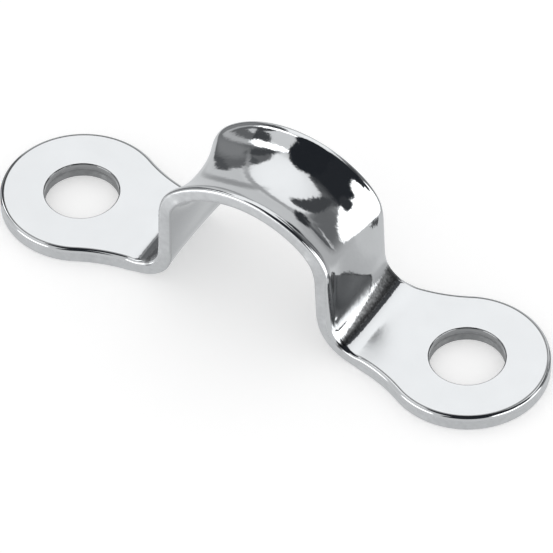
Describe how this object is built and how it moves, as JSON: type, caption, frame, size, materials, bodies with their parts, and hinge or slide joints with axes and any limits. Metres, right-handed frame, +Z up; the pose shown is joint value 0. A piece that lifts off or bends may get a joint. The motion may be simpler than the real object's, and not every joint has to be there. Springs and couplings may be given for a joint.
{
  "type": "fairlead chock",
  "caption": "Pressed, mirror-polished stainless strap fairlead: a dished arch that guides a rope between two flat, round, drilled feet.",
  "frame": {"origin": "on the mounting plane, midway between the two fixing holes", "axes": "+X from one fixing hole to the other, +Y along the rope's run through the arch, +Z up from the deck to the top of the arch"},
  "size_m": [0.052, 0.014, 0.0145],
  "materials": {
    "polished_stainless": "mirror polish on cold-pressed marine stainless steel"
  },
  "bodies": {
    "root": {"strap": "polished_stainless"}
  },
  "joints": []
}
